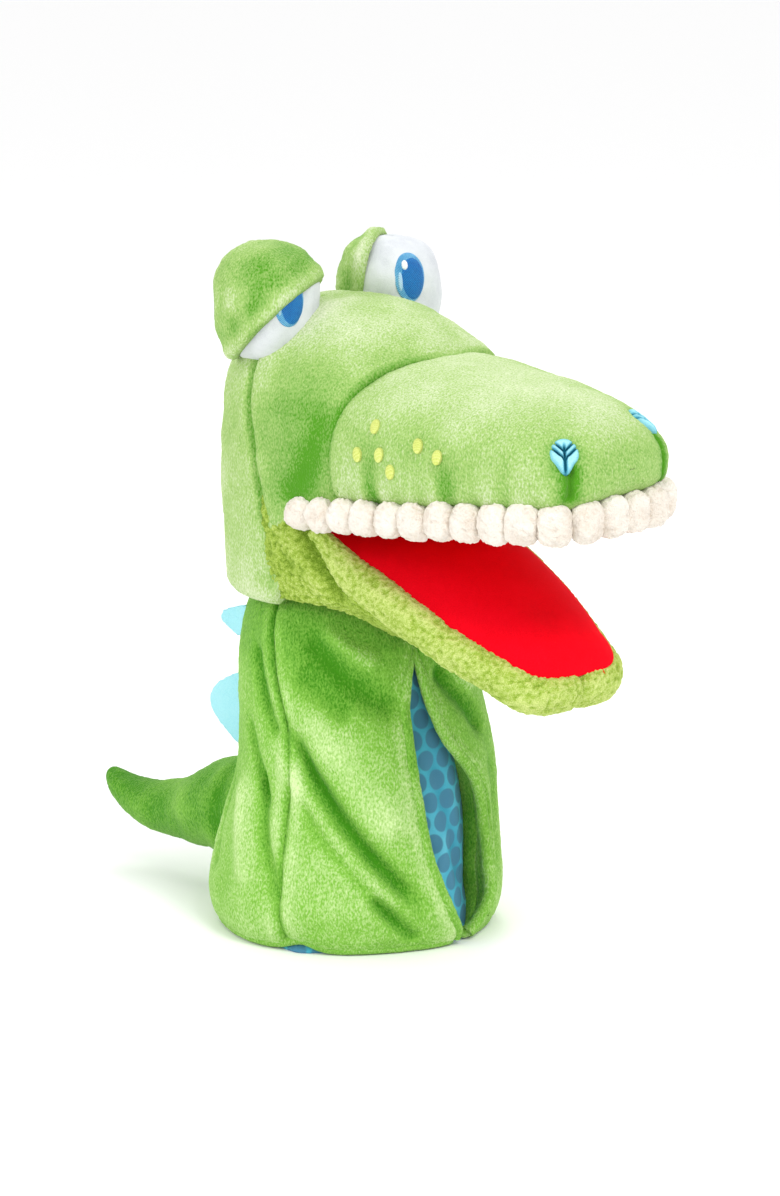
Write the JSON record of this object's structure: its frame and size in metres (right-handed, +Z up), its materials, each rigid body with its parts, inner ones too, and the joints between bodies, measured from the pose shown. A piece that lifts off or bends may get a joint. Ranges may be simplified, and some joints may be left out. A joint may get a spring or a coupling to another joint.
{
  "type": "moving mouth puppet",
  "caption": "Plush crocodile glove puppet that stands on its hem, with a hinged lower jaw, a turning and nodding head and a stuffed tail.",
  "frame": {"origin": "on the floor under the middle of the puppet's box, on the centre line of the body tube", "axes": "+Z up, the snout points along -Y, the tail along +Y, +X is the puppet's left"},
  "size_m": [0.109, 0.2755, 0.2563],
  "materials": {
    "plush_green": "short pile plush, soft sheen",
    "plush_back": "short pile plush, soft sheen",
    "terry_lime": "bobbly terry",
    "velour_red": "smooth brushed velour",
    "fleece_cream": "fluffy fleece",
    "felt_cyan": "flat felt",
    "cotton_dots": "woven cotton with dots",
    "eye_white": "satin weave",
    "embroidery_blue": "satin stitch",
    "embroidery_yellow": "satin stitch",
    "nostril_blue": "puckered cotton",
    "hem_green": "turned plush hem",
    "filling": "loose polyester filling",
    "stiff_board": "thin flexible board"
  },
  "bodies": {
    "body": {"tunic_right": "plush_green", "tunic_left": "plush_green", "tunic_back": "plush_back", "hem_band": "hem_green", "slit_binding_right": "hem_green", "slit_binding_left": "hem_green", "inner_sleeve": "cotton_dots", "spine_upper": "felt_cyan", "spine_lower": "felt_cyan"},
    "neck": {"palm_tube": "cotton_dots"},
    "head": {"head_shell": "plush_green", "head_back_panel": "plush_back", "throat_panel": "terry_lime", "cheek_gusset_right": "terry_lime", "cheek_gusset_left": "terry_lime", "head_stuffing": "filling", "snout_cover": "plush_green", "snout_stuffing": "filling", "finger_pocket": "cotton_dots", "palate_board": "stiff_board", "palate_cover": "velour_red", "teeth_right": "fleece_cream", "teeth_front": "fleece_cream", "teeth_left": "fleece_cream", "eyeball_right": "eye_white", "eyeball_left": "eye_white", "eyelid_right": "plush_green", "eyelid_left": "plush_green", "iris_right": "embroidery_blue", "iris_left": "embroidery_blue", "nostril_right": "nostril_blue", "nostril_left": "nostril_blue", "freckles_right": "embroidery_yellow", "freckles_left": "embroidery_yellow"},
    "jaw": {"tongue_cover": "velour_red", "tongue_board": "stiff_board", "lip_roll": "terry_lime", "thumb_pocket": "cotton_dots", "jaw_stuffing": "filling", "chin_cover": "terry_lime"},
    "tail": {"tail_skin": "plush_green", "tail_stuffing": "filling"}
  },
  "joints": [
    {"name": "head_turn", "type": "hinge", "parent": "body", "child": "neck", "pos_m": [0, 0, 0.105], "axis": [0, 0, 1], "range_deg": [-25, 25]},
    {"name": "head_nod", "type": "hinge", "parent": "neck", "child": "head", "pos_m": [0, 0, 0.105], "axis": [1, 0, 0], "range_deg": [-8, 12]},
    {"name": "jaw_open", "type": "hinge", "parent": "head", "child": "jaw", "pos_m": [0, -0.017, 0.16], "axis": [1, 0, 0], "range_deg": [-19, 8]},
    {"name": "tail_wag", "type": "hinge", "parent": "body", "child": "tail", "pos_m": [0, 0.071, 0.032], "axis": [0, 0, 1], "range_deg": [-20, 20], "stiffness_Nm_per_rad": 0.01}
  ]
}
